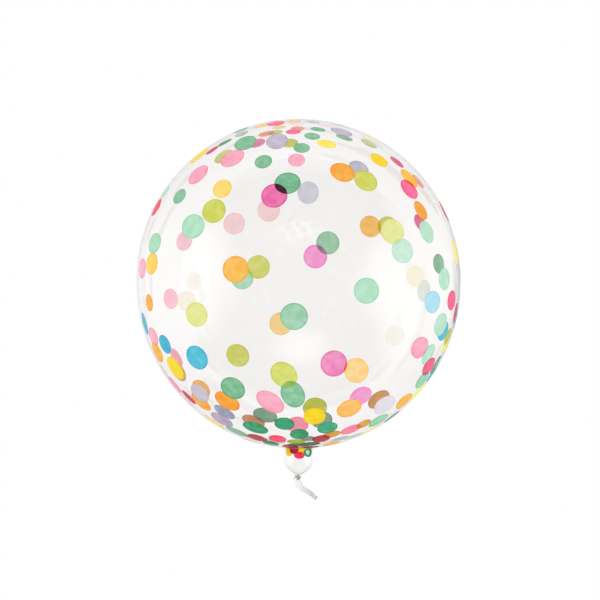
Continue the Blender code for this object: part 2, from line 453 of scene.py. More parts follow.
# %% One recipe for the inks
INK_COVER = 0.97
INK_PATCH = 9 * MM
PATCH_FROM, PATCH_FULL = 0.35, 0.70
INK_THICKEST, INK_THINNEST = 1.10, 0.78
BEAD_FROM, BEAD_FULL, BEAD_DEPTH = 0.86, 0.96, 1.4
EDGE_VALUE = "dot_edge"
DEPTH_VALUE = "ink_depth"
MIXED_COLOUR = "mixed_ink"


def screen_ink(name, hex_colour=None, cover=INK_COVER):
    """A printed ink, in a colour of its own or in the one stored on the mesh."""
    made, shader = new_material("screen_ink_" + name)
    shader.inputs["Metallic"].default_value = 0.0
    shader.inputs["Roughness"].default_value = 0.28
    shader.inputs["IOR"].default_value = 1.48
    shader.inputs["Specular IOR Level"].default_value = 0.05
    shader.inputs["Alpha"].default_value = cover
    tree = made.node_tree
    place = add(tree, "ShaderNodeTexCoord")
    patches = add(
        tree,
        "ShaderNodeTexNoise",
        inputs={"Vector": place.outputs["Object"], "Scale": 1 / INK_PATCH, "Detail": 2.0},
    )
    thinner = add(
        tree,
        "ShaderNodeMapRange",
        inputs={
            "Value": patches.outputs["Fac"],
            "From Min": PATCH_FROM,
            "From Max": PATCH_FULL,
            "To Min": INK_THICKEST,
            "To Max": INK_THINNEST,
        },
    )
    edge = add(tree, "ShaderNodeAttribute", settings={"attribute_name": EDGE_VALUE})
    bead = add(
        tree,
        "ShaderNodeMapRange",
        inputs={
            "Value": edge.outputs["Fac"],
            "From Min": BEAD_FROM,
            "From Max": BEAD_FULL,
            "To Min": 1.0,
            "To Max": BEAD_DEPTH,
        },
    )
    depth = add(tree, "ShaderNodeAttribute", settings={"attribute_name": DEPTH_VALUE})
    patched = add(
        tree,
        "ShaderNodeMath",
        settings={"operation": "MULTIPLY"},
        inputs={0: depth.outputs["Fac"], 1: thinner.outputs["Result"]},
    )
    beaded = add(
        tree,
        "ShaderNodeMath",
        settings={"operation": "MULTIPLY"},
        inputs={0: patched.outputs["Value"], 1: bead.outputs["Result"]},
    )
    if hex_colour:
        colour = linear(hex_colour)
    else:
        mixed = add(tree, "ShaderNodeAttribute", settings={"attribute_name": MIXED_COLOUR})
        colour = mixed.outputs["Color"]
    dye = add(tree, "ShaderNodeGamma", inputs={"Color": colour, "Gamma": beaded.outputs["Value"]})
    tree.links.new(dye.outputs["Color"], shader.inputs["Base Color"])
    return made


INKS = {
    "lemon": "#FDEE3C", "yellow": "#FAD414", "gold": "#FCBB28",
    # Of the oranges in this table, the darkest is darkened to paint the shade that falls on dots low on the
    # ball.
    # Of the oranges in this table, the palest is paled to paint a highlight that lies over its dots.
    "orange": "#F88A14", "peach": "#FDB854", "ochre": "#CE8C1E",
    # Of the pinks in this table, the palest is paled to paint a highlight over the far dots that carry it.
    "lime": "#BAC22E", "pink": "#FA8EAB", "blush": "#FFC8D0",
    "magenta": "#E44C90", "orchid": "#FF74CC", "rose": "#F22C5A",
    "hot_pink": "#FD447A", "crimson": "#C41038", "blue": "#26A6C8",
    "sky": "#96D9F0", "mint": "#90D5AA", "sage": "#7FAE8C",
    "emerald": "#2B9C6D", "green": "#4F9D68", "slate": "#B4B6CE",
    "lilac": "#B3A4BB",
}
ink_materials = {name: screen_ink(name, colour) for name, colour in INKS.items()}
print(len(INKS), "inks, which cover", INK_COVER, "of what is behind them")

# %% [markdown]
# The dots were scattered at random when they were printed, so no rule places them. Each was found in
# the picture instead: how far it is right of the ball's middle and above it, how wide it looks along
# the ring round the middle, and how wide towards the middle. All four are centimetres in the plane
# through the middle. The camera sees some on the near wall, and some through it on the far one.
# A fifth number is there for a dot with more or less ink than most, and says how much of the usual.
# On a few far dots it is near zero, which pales them almost to white as a painted reflection of a lamp.
# A sixth one is there for a dot that looks tilted, and says by how many degrees counter-clockwise.
#
# A dot's true size follows from where it lies. Near the ball's edge the film slopes away, and a round
# dot looks like a thin ellipse there. Towards the neck the film is stretched lengthwise, and so are
# its dots.

# %% The dots on the near wall
NEAR_DOTS = {
    "lemon": (
        (9.0, 17.8, 2.0, 0.12), (-12.3, 15.55, 3.0, 0.5, 2.6), (19.45, 3.6, 3.2, 0.4, 0.8),
        (18.2, -8.0, 2.0, 0.5), (14.85, -13.75, 2.6, 0.35, 0.7), (8.9, -18.5, 2.2, 0.15, 0.6),
    ),
    "yellow": (
        (3.5, 17.0, 2.5, 0.95, 0.6), (10.0, 15.0, 2.5, 1.2, 1.3), (-15.3, -10.8, 3.2, 1.3),
        (2.0, -16.8, 2.7, 1.9),
    ),
    "gold": (
        (13.75, 12.75, 2.9, 1.05, 1.25), (-9.45, 11.45, 2.5, 2.1, 0.75),
        (-18.2, 2.15, 2.7, 1.4, 0.8), (-17.5, -8.85, 2.7, 0.85, 1.45),
        (13.1, -14.9, 2.6, 0.85, 1.25),
    ),
    "orange": (
        (-0.6, 19.78, 1.7, 0.3, 0.45), (-4.6, 19.25, 1.4, 0.35, 0.45), (5.45, 13.5, 3.15, 2.2),
        (15.15, 8.75, 2.6, 1.15), (-7.8, 1.45, 3.35, 3.25, 0.8), (-18.5, -2.7, 2.15, 0.85, 0.85),
        (-8.85, -14.9, 3.4, 1.7), (-12.1, -15.0, 3.0, 1.0, 0.85),
    ),
    # Orange dots paled to paint a highlight that lies over them.
    "peach": (
        (7.2, -11.1, 3.05, 3.0, 0.9), (6.3, -15.8, 3.2, 1.9, 1.1), (-10.5, -17.4, 2.9, 0.35, 0.5),
        (-6.0, -19.9, 2.0, 0.25, 1.5), (4.1, -20.2, 2.2, 0.4, 0.9),
    ),
    # Orange dots darkened to paint the shade on the ball's lower part.
    "ochre": (
        (8.1, -17.7, 1.9, 0.7, 0.75), (4.1, -19.0, 2.2, 0.7, 0.75),
    ),
    "lime": (
        (8.35, 12.45, 3.1, 2.3, 0.98), (-10.5, 8.7, 3.1, 2.75), (11.7, 6.15, 3.2, 2.8, 0.5),
        (-12.65, -4.15, 3.1, 2.65, 0.55), (18.5, -6.9, 2.2, 0.5, 1.3),
        (-1.8, -11.6, 3.6, 2.95, 0.85, -40), (-0.3, -19.9, 2.2, 0.5),
    ),
    "pink": (
        (-0.2, 19.5, 1.5, 0.2, 0.35), (3.3, 19.3, 1.3, 0.3, 0.4), (-8.2, 15.25, 3.2, 1.75),
        (-0.25, 15.0, 2.1, 1.6), (-12.45, 13.2, 3.05, 1.45), (-19.4, 1.55, 2.5, 0.85, 0.8),
        (-15.85, -2.2, 2.5, 1.75, 0.7), (-18.0, -6.9, 2.4, 0.95, 0.85), (15.05, -8.25, 2.8, 1.9),
        (-15.3, -12.9, 2.6, 0.4, 1.2), (-3.5, -14.95, 3.85, 2.25, 0.95, -33),
        (6.5, -18.4, 2.7, 0.8),
    ),
    "magenta": (
        (-3.0, 10.6, 3.3, 2.95, 1.15), (4.4, -10.25, 3.3, 3.15, 0.85),
    ),
    "rose": (
        (-0.65, 18.5, 1.75, 0.6, 0.7), (19.0, -2.4, 2.5, 0.95, 0.8), (16.15, -10.6, 2.5, 1.0, 0.9),
    ),
    "hot_pink": (
        (-2.8, 19.55, 2.2, 0.55), (13.75, 11.4, 2.85, 1.45), (-17.6, 9.15, 2.4, 0.6, 2.1),
        (-2.6, -19.55, 2.15, 0.75, 0.9),
    ),
    "crimson": (
        (-10.7, 16.2, 1.6, 0.4, 0.8), (12.2, 14.75, 2.1, 0.55, 0.62), (18.1, 8.65, 2.9, 0.28),
        (19.45, -4.0, 2.6, 0.25), (-13.6, -14.4, 2.4, 0.4, 0.9), (-5.1, -19.45, 2.5, 0.6),
        (2.8, -19.55, 2.2, 0.75), (-1.0, -20.5, 2.0, 0.45), (1.65, -20.6, 1.6, 0.35, 1.6),
    ),
    "blue": (
        (19.6, -4.8, 2.0, 0.15, 1.2), (-19.05, -5.3, 2.8, 0.45, 1.1), (17.95, -6.2, 2.5, 1.35, 0.9),
        (-16.55, -7.85, 2.5, 1.15, 1.15), (-12.6, -9.5, 3.2, 2.3), (16.55, -11.5, 2.4, 0.24, 1.3),
    ),
    "sky": ((16.65, -2.6, 2.8, 1.9),),
    "mint": (
        (-16.55, 10.95, 1.8, 0.45, 0.8), (-13.1, 6.8, 3.1, 2.7), (15.9, 6.1, 2.9, 1.55, 0.8),
        (-17.85, 4.7, 2.6, 1.4), (12.9, 3.75, 3.1, 2.6, 0.65), (18.1, 0.25, 2.8, 1.35, 0.75),
        (8.45, -1.2, 3.25, 3.15), (17.65, -5.4, 2.9, 1.4, 0.7), (16.1, -9.1, 2.8, 1.1, 0.75),
        (15.35, -12.3, 2.5, 0.95, 1.3), (9.9, -17.3, 2.7, 0.75),
    ),
    "sage": ((-7.6, -18.7, 3.0, 0.5, 0.8),),
    "emerald": (
        (-1.75, -17.7, 2.45, 1.4), (-5.35, -18.2, 3.2, 1.1, 0.9), (3.6, -18.2, 2.5, 1.2, 0.8),
        (0.1, -19.0, 2.25, 1.15, 0.9), (-3.4, -20.1, 2.0, 0.4), (1.4, -20.2, 2.5, 0.4, 1.5),
        (-0.4, -20.3, 1.6, 0.3),
    ),
    "green": (
        (2.4, 18.8, 1.85, 0.5, 0.82), (-7.2, 18.7, 2.0, 0.25), (1.7, 17.95, 1.95, 0.85, 0.83),
        (-9.15, 17.15, 1.95, 0.18, 1.3), (-6.6, 17.15, 2.85, 1.75, 0.8),
        (0.4, 16.5, 2.05, 1.2, 0.83), (-4.35, 14.8, 2.2, 1.6, 0.88),
        (-1.35, 12.15, 3.25, 2.65, 1.1), (-14.75, 10.5, 2.1, 1.2, 0.75),
        (-0.55, -4.4, 3.45, 3.35, 0.7), (17.0, -10.4, 2.6, 0.35, 1.2),
        (-8.15, -13.3, 3.2, 2.35, 0.95), (-0.7, -14.0, 3.5, 2.8, 0.82, -55),
        (11.55, -16.85, 2.4, 0.15, 1.4),
    ),
    "lilac": (
        (5.35, 18.5, 2.8, 0.75), (-2.65, 17.35, 2.75, 1.9), (-12.25, -13.9, 2.7, 1.5, 0.8),
        (10.7, -15.4, 3.0, 1.6, 0.35), (-9.5, -17.2, 3.0, 0.95),
    ),
}
print(sum(len(dots) for dots in NEAR_DOTS.values()), "dots on the near wall")

# %% [markdown]
# The dots on the far wall are seen through the near one. Where a lamp's reflection covers them, hardly
# anything shows of them in the picture, so they get very little ink there, which pales them almost to
# white: a painted reflection of the lamp in their colour.

# %% The dots on the far wall
# A fifth number near zero pales a far dot almost to white, as a painted reflection of a lamp.
FAR_DOTS = {
    "yellow": (
        (-2.4, 19.1, 1.2, 0.25), (14.5, 0.6, 2.7, 2.2, 0.07), (-12.1, -13.4, 2.6, 1.6, 2.2),
    ),
    "orange": (
        (-0.1, 18.95, 1.75, 0.55, 1.2), (-4.0, 18.3, 2.0, 0.6, 1.3), (8.95, 6.8, 2.75, 2.55, 0.72),
        (-13.9, -2.5, 2.5, 2.3, 0.06), (-2.2, -5.3, 2.85, 2.85, 0.42),
    ),
    # Orange dots darkened to paint the shade on the ball's lower part.
    "ochre": (
        (-15.1, -11.1, 3.2, 1.4), (10.0, -14.75, 3.0, 1.7), (-5.6, -17.4, 2.9, 1.2),
    ),
    "lime": (
        (-2.85, 18.45, 1.6, 0.6), (-1.1, 17.15, 2.1, 1.1), (8.75, 17.1, 2.2, 0.65),
        (-9.3, 15.5, 2.6, 1.2, 0.8), (11.15, 6.7, 2.75, 2.5), (-5.0, 1.75, 2.95, 2.9, 0.8),
        (-13.0, 0.0, 2.2, 1.8, 0.04), (12.0, -6.8, 2.6, 2.4, 0.04), (-7.55, -9.25, 3.0, 2.6, 0.92),
        (-16.5, -11.4, 1.2, 0.15), (2.05, -15.75, 2.95, 2.3, 0.9),
    ),
    "pink": (
        (-14.2, 5.0, 2.5, 1.9, 0.6), (-15.2, -9.5, 2.5, 1.0), (-0.15, -17.9, 2.7, 1.9, 0.8),
    ),
    # Pink dots paled to paint a highlight that lies over them.
    "blush": (
        (-3.7, 8.8, 2.8, 2.8), (-8.0, 7.15, 2.75, 2.65),
    ),
    "magenta": (
        (-5.2, 17.15, 2.2, 1.0, 0.9), (15.1, 7.3, 2.2, 1.2, 1.4),
    ),
    "orchid": (
        (2.1, 3.05, 2.95, 2.95), (7.75, -14.3, 2.9, 1.9, 0.74),
    ),
    "rose": ((14.9, 12.4, 2.2, 0.5, 1.4),),
    "blue": ((-2.1, -20.7, 1.2, 0.25),),
    "mint": (
        (-7.0, 0.35, 2.75, 2.75, 1.1), (-2.8, -19.9, 2.4, 0.3),
    ),
    "sage": (
        (15.6, -1.2, 2.7, 1.6, 0.25), (-4.15, -16.7, 3.0, 1.6, 1.15), (2.9, -17.3, 2.6, 2.1),
        (5.2, -19.6, 2.2, 0.35),
    ),
    "green": (
        (1.75, 19.78, 1.9, 0.25, 1.5), (5.0, 19.35, 2.2, 0.2), (-7.1, 18.3, 1.5, 0.5),
        (5.7, 17.85, 2.2, 0.6), (3.65, 4.75, 2.9, 2.85, 0.67), (17.45, 2.15, 2.5, 1.35, 0.95),
        (1.2, -19.6, 1.2, 0.6, 1.5),
    ),
    "slate": (
        (7.5, 14.0, 2.6, 1.7, 1.15), (1.2, 11.0, 2.65, 2.8, 0.8), (-9.2, -16.3, 2.9, 1.0, 1.5),
    ),
    "lilac": (
        (-13.7, -15.0, 1.6, 0.15), (6.8, -19.3, 2.4, 0.25, 1.6),
    ),
}
print(sum(len(dots) for dots in FAR_DOTS.values()), "dots on the far wall")

# %% [markdown]
# Each dot is laid on the film by a line from the camera through its place in the picture. The line is
# followed to the near or the far wall, and the dot is spread there round the point that it meets. A
# dot keeps a true size between 18 and 42 mm, which guards against a bad reading near the ball's edge.
# A tilted dot is traced point by point in the picture instead.
#
# The near wall has its dots on its outer face, and the far wall on its inner face, so that only the
# near wall is between them and the camera. The inks were printed one after the other, in the order of
# their list. A dot that crosses others on its wall lies one step further off the film than they do.
#
# Where the film slopes away, the light crosses the ink at a slant and picks up more of its colour. That
# may not come from the camera's place, so the dots round the side of the ball are just given more ink.

# %% Lay the dots
LEAST_DOT = 18 * MM
MOST_DOT = 42 * MM
DOT_EDGE_POINTS = 48
DOT_RING_SHARES = (0.3, 0.6, 0.84, 0.93, 1.0)
INK_LIFT = 0.08 * MM
FAR_INK_LIFT = -WALL - 0.12 * MM
LIFT_STEP = 0.02 * MM
LEAST_SLOPE = 0.05
LEAST_STRETCH, MOST_STRETCH = 0.72, 1.38
SIGHT_ROUNDS = 8
DEPTH_STEPS = ((8, 1.3), (20, 1.15), (32, 0.9), (46, 0.66), (60, 0.62))
SLANT_FROM, SLANT_FULL = 13, 19.5
NEAR_SLANT_GAIN, FAR_SLANT_GAIN = 0.25, 0.6


def kept_in_range(size, smallest, largest):
    """The size, or the end of its range that it has passed."""
    return max(smallest, min(largest, size))


def seen_film(right, up, far):
    """Where a line from the camera through a place in the ball's middle plane meets the film, as a
    direction from the middle, with the line's own direction. The film isn't quite a ball, so this is
    worked out in a few rounds."""
    start = camera.location - MIDDLE
    line = (Vector((right * CM, up * CM, 0)) - start).normalized()
    nearest = start - line * start.dot(line)
    reach = BALL_RADIUS
    for _ in range(SIGHT_ROUNDS):
        half_chord = math.sqrt(max(0.0, reach**2 - nearest.length_squared))
        hit = nearest + line * (half_chord if far else -half_chord)
        reach = ball_reach(hit.normalized())
    return hit.normalized(), line


def dot_half_sizes(direction, line, across, radial):
    """A dot's true half sizes along the ring round the middle and towards the middle."""
    grown = (camera.location.z - film_at(direction).z) / VIEW_DISTANCE
    slope = max(LEAST_SLOPE, abs(direction.dot(line)))
    half_across = kept_in_range(across * CM * grown, LEAST_DOT, MOST_DOT) / 2
    half_radial = radial * CM * grown / slope / 2
    half_radial = kept_in_range(half_radial, LEAST_STRETCH * half_across, MOST_STRETCH * half_across)
    return half_across, half_radial


def level_outline(direction, line, half_across, half_radial):
    """The outline of a dot that lies along the ring round the middle, as directions from the middle."""
    along_ring = direction.cross(line).normalized()
    towards = direction.cross(along_ring)
    outline = []
    for turn in turns_round(DOT_EDGE_POINTS):
        offset = along_ring * (half_across * math.cos(turn)) + towards * (half_radial * math.sin(turn))
        angle = offset.length / BALL_RADIUS
        outline.append(direction * math.cos(angle) + offset.normalized() * math.sin(angle))
    return outline


def tilted_outline(right, up, across, radial, tilt, far):
    """The outline of a dot that looks tilted, traced in the picture and carried over to the film."""
    outline = []
    for turn in turns_round(DOT_EDGE_POINTS):
        wide, tall = across / 2 * math.cos(turn), radial / 2 * math.sin(turn)
        right_by = wide * math.cos(tilt) - tall * math.sin(tilt)
        up_by = wide * math.sin(tilt) + tall * math.cos(tilt)
        outline.append(seen_film(right + right_by, up + up_by, far)[0])
    return outline


def ink_depth(from_neck):
    """The share of the ink's thickness that is left at an angle from the neck, by steps in degrees."""
    for (near, depth_near), (beyond, depth_beyond) in zip(DEPTH_STEPS, DEPTH_STEPS[1:]):
        if from_neck < beyond:
            share = kept_in_range((from_neck - near) / (beyond - near), 0, 1)
            return depth_near + (depth_beyond - depth_near) * share
    return DEPTH_STEPS[-1][1]


def on_ball(direction, lift, gain=1.0):
    """A point of ink on the ball, and how deep the ink is there."""
    return film_at(direction, lift), gain * ink_depth(math.degrees(direction.angle(Vector((0, -1, 0)))))


def ink_layers(bm):
    """The values that are stored on the points of a mesh of ink."""
    return {
        "edge": bm.verts.layers.float.new(EDGE_VALUE),
        "depth": bm.verts.layers.float.new(DEPTH_VALUE),
        "colour": bm.verts.layers.float_color.new(MIXED_COLOUR),
    }


def lay_patch(bm, layers, place, count=DOT_EDGE_POINTS, shares=DOT_RING_SHARES, colour=None):
    """Adds a patch of ink: rings of points from its middle out to its outline. The function place
    gives the point and the ink's depth there, for a share of the way out and a step round. A patch
    of a given colour is a lens, which has no bead along its edge."""

    def point(share, step):
        position, depth = place(share, step)
        vertex = bm.verts.new(position)
        vertex[layers["edge"]] = 0.0 if colour else share
        vertex[layers["depth"]] = depth
        if colour:
            vertex[layers["colour"]] = colour
        return vertex

    centre = point(0.0, 0)
    inner = None
    for share in shares:
        outer = [point(share, step) for step in range(count)]
        for step in range(count):
            after = (step + 1) % count
            if inner is None:
                bm.faces.new((centre, outer[step], outer[after]))
            else:
                bm.faces.new((inner[step], outer[step], outer[after], inner[after]))
        inner = outer


def face_outwards(bm, centre):
    """Turns every face away from a point."""
    bm.normal_update()
    inward = [face for face in bm.faces if face.normal.dot(face.calc_center_median() - centre) < 0]
    bmesh.ops.reverse_faces(bm, faces=inward)


def may_cross(dot, middle, reach):
    """Whether a laid dot may cross another, given by its middle and how far it reaches."""
    return dot["middle"].angle(middle) * BALL_RADIUS < dot["reach"] + reach


def lay_dot(ink, far, right, up, across, radial, own=1.0, tilt=0):
    """Lays one dot on the near or the far wall, and notes what a crossing dot needs to know of it."""
    direction, line = seen_film(right, up, far)
    half_across, half_radial = dot_half_sizes(direction, line, across, radial)
    if tilt:
        outline = tilted_outline(right, up, across, radial, math.radians(tilt), far)
    else:
        outline = level_outline(direction, line, half_across, half_radial)
    reach = max(half_across, half_radial)
    under = [dot["layer"] for dot in laid if dot["far"] == far and may_cross(dot, direction, reach)]
    layer = max(under, default=-1) + 1
    lift = FAR_INK_LIFT - LIFT_STEP * layer if far else INK_LIFT + LIFT_STEP * layer
    slant = kept_in_range((math.hypot(right, up) - SLANT_FROM) / (SLANT_FULL - SLANT_FROM), 0, 1)
    gain = own * (1 + slant * (FAR_SLANT_GAIN if far else NEAR_SLANT_GAIN))

    def place(share, step):
        return on_ball(direction.slerp(outline[step], share), lift, gain)

    lay_patch(*dot_meshes[ink], place)
    dot = {"ink": ink, "middle": direction, "outline": outline, "reach": reach, "gain": gain}
    laid.append({**dot, "far": far, "layer": layer, "lift": lift})


laid = []
dot_meshes = {}
for ink in ink_materials:
    bm = bmesh.new()
    dot_meshes[ink] = bm, ink_layers(bm)
    for far, dots in ((False, NEAR_DOTS), (True, FAR_DOTS)):
        for dot in dots.get(ink, ()):
            lay_dot(ink, far, *dot)
print(len(laid), "dots laid")

# %% [markdown]
# Next to the knot the film was hardly stretched at all. The dots on the neck stay about 10 mm across,
# lie close together and keep their full colour. Each is placed by how far it is right of the axis and
# how far along the film from where the ball ends, round the shoulder and down the neck. Its width and
# its length come next, and all four are millimetres. Then come how many layers of ink lie under it,
# and how deep its own is. The picture shows the near side of the neck, and the far side gets the same
# kind of dots.

# %% The dots on the neck
SHOULDER_ARC = math.pi / 2 * SHOULDER_RADIUS
NECK_LIFT_STEP = 3 * LIFT_STEP
NECK_DOTS = {
    "yellow": (
        (-11.9, 6.7, 11.0, 10.0, 0, 1.0),
        (4.5, 1.6, 10.0, 11.0, 0, 1.0),
        (16.6, 5.2, 9.0, 9.0, 0, 1.0),
    ),
    "crimson": ((-5.6, 2.6, 12.0, 12.5, 1, 1.2),),
    "rose": ((1.2, 10.2, 13.5, 8.5, 2, 1.0),),
    "emerald": ((12.3, 7.0, 14.0, 11.5, 1, 1.2),),
    "sky": ((11.4, 6.8, 6.5, 6.0, 2, 0.6),),
}
FAR_NECK_DOTS = {
    "yellow": ((2.5, 7.5, 10.5, 9.0, 0, 1.0), (14.5, 2.4, 9.0, 10.0, 0, 1.0)),
    "crimson": ((9.0, 3.5, 11.0, 8.5, 1, 1.2),),
    "orange": ((-13.5, 4.2, 9.0, 9.0, 1, 1.0),),
    "emerald": ((-5.0, 1.0, 10.0, 8.0, 2, 1.2),),
}


def on_sleeve(turn, along, lift):
    """A point of ink round the shoulder and the neck, by its turn round the axis."""
    if along < 0:
        angle = NECK_ANGLE + along / BALL_RADIUS
        return film_at(round_axis(math.sin(angle), math.cos(angle), turn), lift)
    round_shoulder = min(along, SHOULDER_ARC) / SHOULDER_RADIUS
    reach = NECK_RADIUS + SHOULDER_RADIUS - (SHOULDER_RADIUS - lift) * math.sin(round_shoulder)
    height = SHOULDER_TOP - SHOULDER_RADIUS + (SHOULDER_RADIUS - lift) * math.cos(round_shoulder)
    height -= max(0.0, along - SHOULDER_ARC)
    return MIDDLE + round_axis(reach, height, turn)


neck_dots = 0
for side, dots_of in ((1, NECK_DOTS), (-1, FAR_NECK_DOTS)):
    for ink, dots in dots_of.items():
        for right, along, wide, tall, under, depth in dots:
            turn = side * math.acos(right * MM / NECK_RADIUS)

            def place(share, step):
                way = 2 * math.pi * step / DOT_EDGE_POINTS
                turned = turn + share * wide * MM / 2 * math.cos(way) / NECK_RADIUS
                moved = (along + share * tall / 2 * math.sin(way)) * MM
                return on_sleeve(turned, moved, INK_LIFT + NECK_LIFT_STEP * under), depth

            lay_patch(*dot_meshes[ink], place)
            neck_dots += 1
for ink, (bm, layers) in dot_meshes.items():
    face_outwards(bm, MIDDLE)
    new_object("dots_" + ink, bm, ink_materials[ink])
print(neck_dots, "dots on the neck, and", len(dot_meshes), "objects of ink")

# %% [markdown]
# Where two dots were printed over each other, light goes through both dyes, and the lens between
# their outlines shows the product of the two colours, much darker than either. Each pair of dots that
# cross is found, the one outline is cut by the other in a plane that touches the film between them,
# and the lens is laid as patches of its own: one over the two dots, to be seen from outside, and one
# under them, to be seen through the film from inside. Lilac and slate hold white pigment, which hides
# what is under it, so their crossings stay as they are, and a few more pairs of inks hide each other
# too. The lenses with magenta and its like come out the darkest.

# %% Lay the lenses where dots cross
DEEP_LENSES = {"magenta": 1.5, "orchid": 1.1, "hot_pink": 1.2, "orange": 1.0}
OTHER_LENSES = 0.75
HIDING_INKS = {"lilac", "slate"}
HIDING_PAIRS = ({"green", "orange"}, {"yellow", "pink"}, {"green", "pink"}, {"blue", "mint"})
LEAST_LENS = (1.5 * MM) ** 2
LENS_GAP = 2 * LIFT_STEP
LENS_EDGE_POINTS = 32
TINY = 1e-12
LENS_RING_SHARES = (0.3, 0.55, 0.8, 1.0)


def flat_outline(outline, touch, right, ahead):
    """An outline on the ball as seen from the ball's middle, in a plane that touches at one point."""
    return [Vector((p.dot(right) / p.dot(touch), p.dot(ahead) / p.dot(touch))) for p in outline]


def area_of(points):
    """The signed area inside a closed line of points."""
    pairs = zip(points, points[1:] + points[:1])
    return sum(a.x * b.y - b.x * a.y for a, b in pairs) / 2


def cut_by(points, cutter):
    """What is left of one convex outline inside another, both counter-clockwise."""
    for start, end in zip(cutter, cutter[1:] + cutter[:1]):
        edge = end - start
        sides = [edge.x * (p.y - start.y) - edge.y * (p.x - start.x) for p in points]
        kept = []
        for step, (point, side) in enumerate(zip(points, sides)):
            before, side_before = points[step - 1], sides[step - 1]
            if (side >= 0) != (side_before >= 0):
                kept.append(before.lerp(point, side_before / (side_before - side)))
            if side >= 0:
                kept.append(point)
        points = kept
        if len(points) < 3:
            return []
    return points


def evenly_spaced(points, count):
    """The same closed line drawn with a number of evenly spaced points."""
    lengths = [(b - a).length for a, b in zip(points, points[1:] + points[:1])]
    total, even, step, passed = sum(lengths), [], 0, 0.0
    for number in range(count):
        wanted = total * number / count
        while passed + lengths[step] < wanted:
            passed += lengths[step]
            step += 1
        share = (wanted - passed) / max(lengths[step], TINY)
        even.append(points[step].lerp(points[(step + 1) % len(points)], share))
    return even


def lens_between(first, second):
    """The outline that two dots share, as directions from the middle, with the lens's own middle."""
    inks = {first["ink"], second["ink"]}
    if inks & HIDING_INKS or inks in HIDING_PAIRS:
        return None
    touch = (first["middle"] + second["middle"]).normalized()
    right = touch.orthogonal().normalized()
    ahead = touch.cross(right)
    shapes = [flat_outline(dot["outline"], touch, right, ahead) for dot in (first, second)]
    shapes = [shape if area_of(shape) > 0 else shape[::-1] for shape in shapes]
    shared = cut_by(*shapes)
    if not shared or area_of(shared) * BALL_RADIUS**2 < LEAST_LENS:
        return None
    even = evenly_spaced(shared, LENS_EDGE_POINTS)
    middle = sum(even, Vector((0, 0))) / len(even)
    place = [(touch + right * p.x + ahead * p.y).normalized() for p in [middle] + even]
    return place[0], place[1:]


mixed_ink = screen_ink("overprinted", cover=1.0)
bm = bmesh.new()
layers = ink_layers(bm)
lenses = 0
for number, first in enumerate(laid):
    for second in laid[number + 1 :]:
        if not may_cross(first, second["middle"], second["reach"]):
            continue
        lens = lens_between(first, second)
        if lens is None:
            continue
        middle, outline = lens
        pairs = zip(linear(INKS[first["ink"]]), linear(INKS[second["ink"]]))
        colour = tuple(a ** first["gain"] * b ** second["gain"] for a, b in pairs)
        gain = max(DEEP_LENSES.get(dot["ink"], OTHER_LENSES) for dot in (first, second))
        lowest, highest = sorted((first["lift"], second["lift"]))
        for lift in (lowest - LENS_GAP, highest + LENS_GAP):

            def place(share, step):
                return on_ball(middle.slerp(outline[step], share), lift, gain)

            lay_patch(bm, layers, place, len(outline), LENS_RING_SHARES, colour)
        lenses += 1
face_outwards(bm, MIDDLE)
overprints = new_object("dots_overprinted", bm, mixed_ink)
print(lenses, "lenses where dots cross")

# %% [markdown]
# ## The thread
#
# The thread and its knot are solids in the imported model, at their true size, so they stay. It is a
# clear nylon line, twisted from fine filaments, which gives it a slanting grain along its length and
# a silky gloss. A wave texture draws the grain: at scale 1 its bands are about 0.3 m apart. A Mix node
# has a set of sockets for each kind of value, so those for colours are named by their numbers.

# %% The thread's material
THREAD_TWIST_PITCH = 0.7 * MM
THREAD_GRAIN_DEPTH = 0.06 * MM
WAVE_LENGTH_AT_SCALE_1 = 0.314
COLOUR_A, COLOUR_B, COLOUR_OUT = 6, 7, 2
nylon, shader = new_material("twisted_nylon_thread")
shader.inputs["Metallic"].default_value = 0.0
shader.inputs["Roughness"].default_value = 0.35
shader.inputs["IOR"].default_value = 1.53
shader.inputs["Transmission Weight"].default_value = 0.75
tree = nylon.node_tree
place = add(tree, "ShaderNodeTexCoord")
strands = add(
    tree,
    "ShaderNodeTexWave",
    settings={"bands_direction": "DIAGONAL"},
    inputs={
        "Vector": place.outputs["Object"],
        "Scale": WAVE_LENGTH_AT_SCALE_1 / THREAD_TWIST_PITCH,
        "Distortion": 1.5,
        "Detail": 1.0,
    },
)
shade = add(
    tree,
    "ShaderNodeMix",
    settings={"data_type": "RGBA"},
    inputs={0: strands.outputs["Fac"], COLOUR_A: linear("#CFCECC"), COLOUR_B: linear("#F0EFEC")},
)
bump = add(
    tree,
    "ShaderNodeBump",
    inputs={"Strength": 0.6, "Distance": THREAD_GRAIN_DEPTH, "Height": strands.outputs["Fac"]},
)
tree.links.new(shade.outputs[COLOUR_OUT], shader.inputs["Base Color"])
tree.links.new(bump.outputs["Normal"], shader.inputs["Normal"])
thread = frame["nodes"]["neck_tie"]
thread.data.materials.clear()
thread.data.materials.append(nylon)
print("the thread's grain repeats about every", THREAD_TWIST_PITCH / MM, "mm")

# %% [markdown]
# ## The studio
#
# The picture is a cut-out on plain white with no shadow, so floor and room are an even white wherever
# they are seen straight or through the film, and wherever they light a dot. What the film mirrors is
# different: a dimmer room, a floor that is bright under the ball and dimmer far off, with one patch of
# painted shade at the right, and three soft lamps, one at each side and one low in front. Floor and
# room are both brighter towards the balloon's sides than along its length. That is what gives a clear
# film its shape. A light path tells the two apart, by counting how often a ray was mirrored on its
# way. The film itself casts no shadow and no light on the dots, so they are lit evenly.

